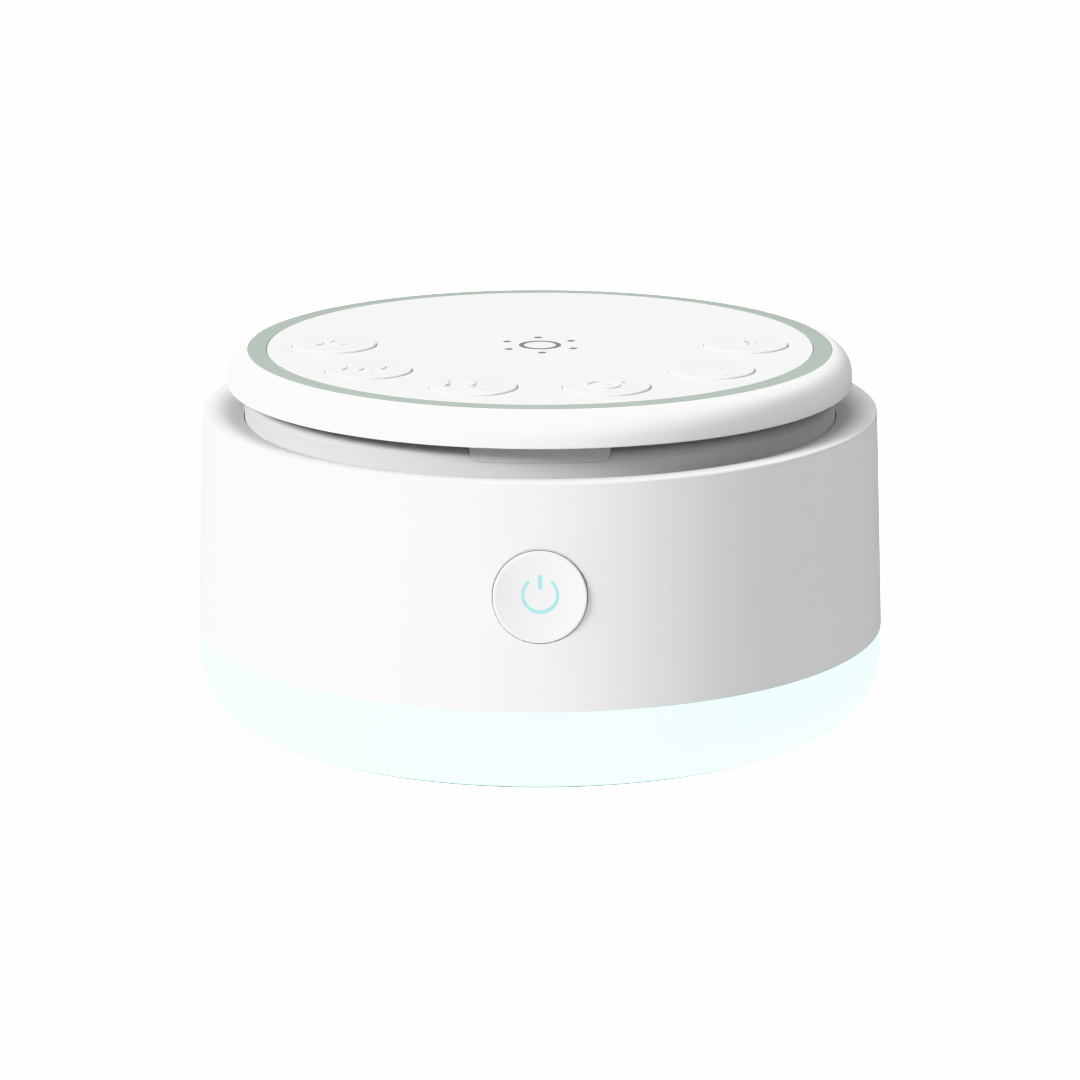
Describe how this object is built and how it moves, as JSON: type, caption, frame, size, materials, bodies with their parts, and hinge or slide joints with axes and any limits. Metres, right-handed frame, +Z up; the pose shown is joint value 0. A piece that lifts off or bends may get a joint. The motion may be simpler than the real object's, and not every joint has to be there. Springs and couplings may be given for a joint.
{
  "type": "white noise sound machine",
  "caption": "Round white bedside noise machine: drafted drum body, floating key cap over an annular sound slot, front power button and a glowing translucent base ring.",
  "frame": {"origin": "centre of the circle through the feet, on the surface that the machine stands on", "axes": "+Z up, along the axis of the round body; -Y towards the power button; +Y towards the USB-C socket"},
  "size_m": [0.11, 0.11, 0.0589],
  "materials": {
    "shell_white": "fine satin moulded ABS",
    "cap_white": "fine satin moulded ABS",
    "panel_white": "flat satin moulded ABS",
    "key_white": "satin moulded ABS",
    "button_white": "semi-gloss moulded ABS",
    "sage_ring": "satin painted trim",
    "deck_white": "fine satin moulded ABS",
    "diffuser": "translucent frosted polycarbonate, lit from inside",
    "light_pipe": "clear acrylic, lit from behind",
    "base_white": "lightly textured moulded ABS",
    "chassis_grey": "moulded ABS",
    "reflector_white": "glossy reflector plastic",
    "foot_rubber": "soft silicone rubber",
    "board_green": "solder mask on glass laminate",
    "chip_black": "moulded chip packages",
    "led_phosphor": "LED packages with phosphor",
    "switch_black": "moulded switch housings",
    "plunger_grey": "moulded plungers",
    "connector_cream": "moulded connector housings",
    "ribbon_grey": "flat ribbon cable",
    "screw_steel": "zinc plated screws",
    "socket_steel": "drawn stainless shell",
    "battery_wrap": "aluminium laminate pouch",
    "foam_black": "closed-cell foam",
    "frame_black": "pressed steel basket, black",
    "magnet_ferrite": "ferrite",
    "pole_steel": "zinc plated mild steel",
    "cone_paper": "pressed paper",
    "surround_rubber": "butyl rubber",
    "spider_cloth": "resin-stiffened cloth",
    "coil_copper": "enamelled copper winding"
  },
  "bodies": {
    "housing": {"accent_ring": "sage_ring", "base_plate": "base_white", "base_screws": "screw_steel", "battery_cell": "battery_wrap", "battery_pad": "foam_black", "board_parts": "chip_black", "board_screws": "screw_steel", "body_shell": "shell_white", "cap_base": "deck_white", "cap_screws": "screw_steel", "cap_shell": "cap_white", "chassis": "chassis_grey", "deck_screws": "screw_steel", "feet": "foot_rubber", "key_board": "board_green", "key_board_screws": "screw_steel", "key_switches": "switch_black", "led_board": "board_green", "led_chips": "led_phosphor", "light_ring": "diffuser", "main_board": "board_green", "power_board": "board_green", "power_board_screws": "screw_steel", "power_leds": "led_phosphor", "power_switch": "switch_black", "reflector": "reflector_white", "ribbon_cable": "ribbon_grey", "ribbon_connectors": "connector_cream", "speaker_cone": "cone_paper", "speaker_deck": "deck_white", "speaker_dust_cap": "cone_paper", "speaker_frame": "frame_black", "speaker_gasket": "foam_black", "speaker_magnet": "magnet_ferrite", "speaker_screws": "screw_steel", "speaker_spider": "spider_cloth", "speaker_surround": "surround_rubber", "speaker_top_plate": "pole_steel", "speaker_yoke": "pole_steel", "top_panel": "panel_white", "usb_socket": "socket_steel", "voice_coil": "coil_copper"},
    "fan_key_body": {"fan_key": "key_white", "fan_plunger": "plunger_grey"},
    "rain_key_body": {"rain_key": "key_white", "rain_plunger": "plunger_grey"},
    "lullaby_key_body": {"lullaby_key": "key_white", "lullaby_plunger": "plunger_grey"},
    "timer_key_body": {"timer_key": "key_white", "timer_plunger": "plunger_grey"},
    "volume_down_key_body": {"volume_down_key": "key_white", "volume_down_plunger": "plunger_grey"},
    "volume_up_key_body": {"volume_up_key": "key_white", "volume_up_plunger": "plunger_grey"},
    "power_button_body": {"power_button": "button_white", "power_light_pipe": "light_pipe", "power_plunger": "plunger_grey"}
  },
  "joints": [
    {"name": "fan_press", "type": "slide", "parent": "housing", "child": "fan_key_body", "axis": [0, 0, -1], "range_m": [0, 0.0004], "stiffness_N_per_m": 400},
    {"name": "rain_press", "type": "slide", "parent": "housing", "child": "rain_key_body", "axis": [0, 0, -1], "range_m": [0, 0.0004], "stiffness_N_per_m": 400},
    {"name": "lullaby_press", "type": "slide", "parent": "housing", "child": "lullaby_key_body", "axis": [0, 0, -1], "range_m": [0, 0.0004], "stiffness_N_per_m": 400},
    {"name": "timer_press", "type": "slide", "parent": "housing", "child": "timer_key_body", "axis": [0, 0, -1], "range_m": [0, 0.0004], "stiffness_N_per_m": 400},
    {"name": "volume_down_press", "type": "slide", "parent": "housing", "child": "volume_down_key_body", "axis": [0, 0, -1], "range_m": [0, 0.0004], "stiffness_N_per_m": 400},
    {"name": "volume_up_press", "type": "slide", "parent": "housing", "child": "volume_up_key_body", "axis": [0, 0, -1], "range_m": [0, 0.0004], "stiffness_N_per_m": 400},
    {"name": "power_press", "type": "slide", "parent": "housing", "child": "power_button_body", "axis": [0, 0.9993, -0.0381], "range_m": [0, 0.0006], "stiffness_N_per_m": 400}
  ]
}
